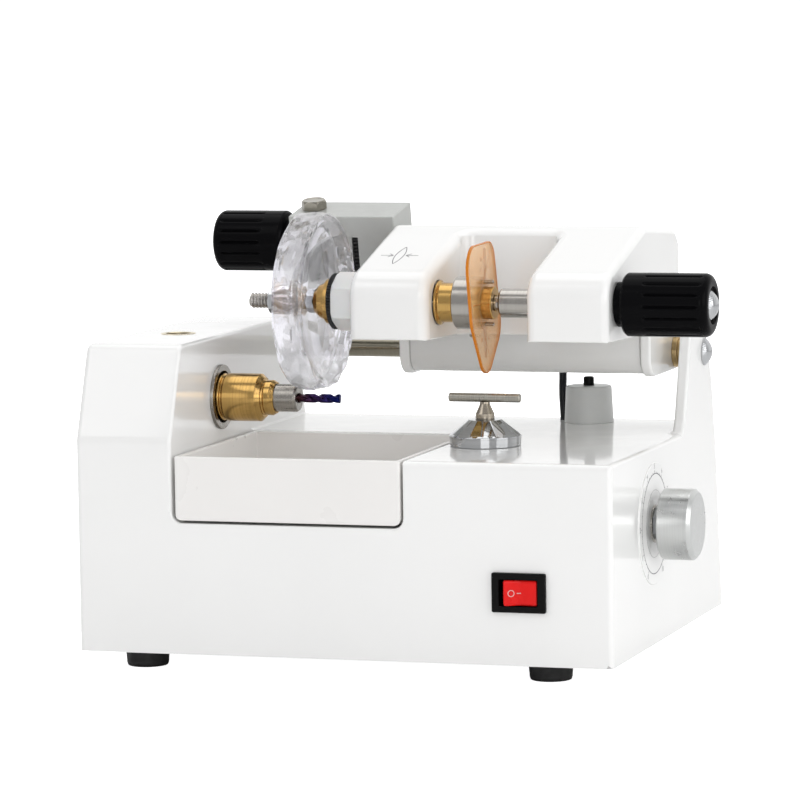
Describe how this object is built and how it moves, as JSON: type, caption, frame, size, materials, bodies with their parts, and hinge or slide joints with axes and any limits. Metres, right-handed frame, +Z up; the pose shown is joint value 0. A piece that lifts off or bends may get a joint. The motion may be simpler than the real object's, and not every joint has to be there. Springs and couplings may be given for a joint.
{
  "type": "lens cutting machine",
  "caption": "Bench machine that mills an eyeglass lens blank to the outline of a template, with a swinging head, a milling spindle and a chip tray.",
  "frame": {"origin": "middle of the machine's footprint box, on the surface the feet stand on", "axes": "+X to the operator's right, along the lens and cutter spindles; +Y to the back; +Z up"},
  "size_m": [0.2406, 0.176, 0.1766],
  "materials": {
    "white_paint": "gloss white enamel",
    "shell_paint": "satin light grey enamel",
    "tray_plastic": "satin white moulded plastic",
    "sheet_steel": "zinc-plated sheet",
    "ground_steel": "ground and turned steel",
    "screw_steel": "nickel-plated",
    "chrome": "polished chrome",
    "brass": "turned brass",
    "bronze": "oil-impregnated bronze",
    "coated_carbide": "heat-blue coated carbide",
    "motor_steel": "zinc-plated steel",
    "knob_aluminium": "brushed and anodised",
    "block_aluminium": "bead-blasted",
    "black_plastic": "gloss black phenolic",
    "red_plastic": "gloss translucent red",
    "grey_plastic": "satin grey moulded plastic",
    "white_nylon": "machined nylon",
    "dial_film": "clear film printed with a scale",
    "circuit_board": "solder mask green",
    "template_acrylic": "transparent orange acrylic",
    "lens_resin": "clear resin lens blank",
    "foot_rubber": "moulded rubber",
    "belt_rubber": "toothed rubber",
    "cable_jacket": "smooth cable jacket"
  },
  "bodies": {
    "base": {"casing": "white_paint", "base_plate": "sheet_steel", "base_screws": "screw_steel", "rubber_feet": "foot_rubber", "tower_bush": "brass", "spindle_cartridge": "ground_steel", "spindle_bearings": "ground_steel", "cutter_motor": "motor_steel", "motor_bracket": "sheet_steel", "drive_belt": "belt_rubber", "switch_body": "black_plastic", "dial_plate": "dial_film", "potentiometer": "motor_steel", "control_board": "circuit_board", "power_inlet": "black_plastic", "stop_boss": "grey_plastic", "stop_spring": "screw_steel", "pivot_rod": "ground_steel", "pivot_bolt": "chrome", "head_cable": "cable_jacket"},
    "tray": {"chip_tray": "tray_plastic"},
    "cutter": {"cutter_spindle": "ground_steel", "collet_nut": "brass", "collet": "ground_steel", "milling_bit": "coated_carbide"},
    "motor_rotor": {"motor_pulley": "ground_steel"},
    "rest_collar": {"rest_ring": "chrome"},
    "rest_slide": {"rest_stem": "ground_steel", "rest_bar": "ground_steel"},
    "rocker": {"switch_rocker": "red_plastic"},
    "speed_control": {"speed_knob": "knob_aluminium", "pot_shaft": "ground_steel"},
    "plunger": {"stop_plunger": "black_plastic"},
    "head": {"head_casting": "white_paint", "head_shell": "shell_paint", "end_plates": "white_paint", "head_screws": "screw_steel", "pivot_bushes": "bronze", "head_bearings": "ground_steel", "gear_motor": "motor_steel", "lens_belt": "belt_rubber", "feed_block": "block_aluminium", "feed_bolt": "screw_steel"},
    "lens_train": {"lens_spindle": "ground_steel", "knob_spindle": "ground_steel", "spindle_sleeve": "brass", "lens_pulley": "knob_aluminium", "template_collar": "ground_steel", "template": "template_acrylic", "template_nut": "brass", "hand_knob": "black_plastic", "hand_knob_bolt": "chrome", "hex_hub": "white_nylon", "drive_ring": "belt_rubber", "lens_cups": "brass", "clamp_nuts": "chrome", "lens_blank": "lens_resin"},
    "lens_motor_rotor": {"gear_motor_pulley": "knob_aluminium"},
    "feed": {"feed_knob": "black_plastic", "feed_screw": "ground_steel"}
  },
  "joints": [
    {"name": "head_swing", "type": "hinge", "parent": "base", "child": "head", "pos_m": [0.03275, 0.06, 0.1136], "axis": [-1, 0, 0], "range_deg": [0, 75], "deforming": ["head_cable"]},
    {"name": "lens_spin", "type": "hinge", "parent": "head", "child": "lens_train", "pos_m": [0.03275, -0.027, 0.1395], "axis": [1, 0, 0], "continuous": true},
    {"name": "lens_motor_spin", "type": "hinge", "parent": "head", "child": "lens_motor_rotor", "pos_m": [0.00275, 0.0335, 0.141], "axis": [1, 0, 0], "continuous": true},
    {"name": "cutter_spin", "type": "hinge", "parent": "base", "child": "cutter", "pos_m": [-0.06725, -0.027, 0.1014], "axis": [1, 0, 0], "continuous": true},
    {"name": "cutter_motor_spin", "type": "hinge", "parent": "base", "child": "motor_rotor", "pos_m": [-0.05725, 0.0405, 0.042], "axis": [1, 0, 0], "continuous": true},
    {"name": "tray_slide", "type": "slide", "parent": "base", "child": "tray", "axis": [0, -1, 0], "range_m": [0, 0.088]},
    {"name": "rest_turn", "type": "hinge", "parent": "base", "child": "rest_collar", "pos_m": [0.02715, -0.027, 0.09], "axis": [0, 0, 1], "range_deg": [-720, 720]},
    {"name": "rest_lift", "type": "slide", "parent": "base", "child": "rest_slide", "axis": [0, 0, 1], "range_m": [-0.002, 0.002]},
    {"name": "switch_tilt", "type": "hinge", "parent": "base", "child": "rocker", "pos_m": [0.05685, -0.0809, 0.0358], "axis": [0, 0, 1], "range_deg": [-18, 0]},
    {"name": "speed_turn", "type": "hinge", "parent": "base", "child": "speed_control", "pos_m": [0.09775, -0.0219, 0.0548], "axis": [1, 0, 0], "range_deg": [-150, 150]},
    {"name": "plunger_press", "type": "slide", "parent": "base", "child": "plunger", "axis": [0, 0, -1], "range_m": [0, 0.0025], "stiffness_N_per_m": 250, "springref_m": -0.001, "deforming": ["stop_spring"]},
    {"name": "feed_turn", "type": "hinge", "parent": "head", "child": "feed", "pos_m": [-0.06725, 0.0265, 0.1592], "axis": [1, 0, 0], "continuous": true}
  ],
  "couplings": [
    {"joint": "lens_motor_spin", "follows": "lens_spin", "ratio": 1.4545},
    {"joint": "cutter_motor_spin", "follows": "cutter_spin", "ratio": 0.76654},
    {"joint": "rest_turn", "follows": "rest_lift", "rad_per_m": -6283.2}
  ]
}
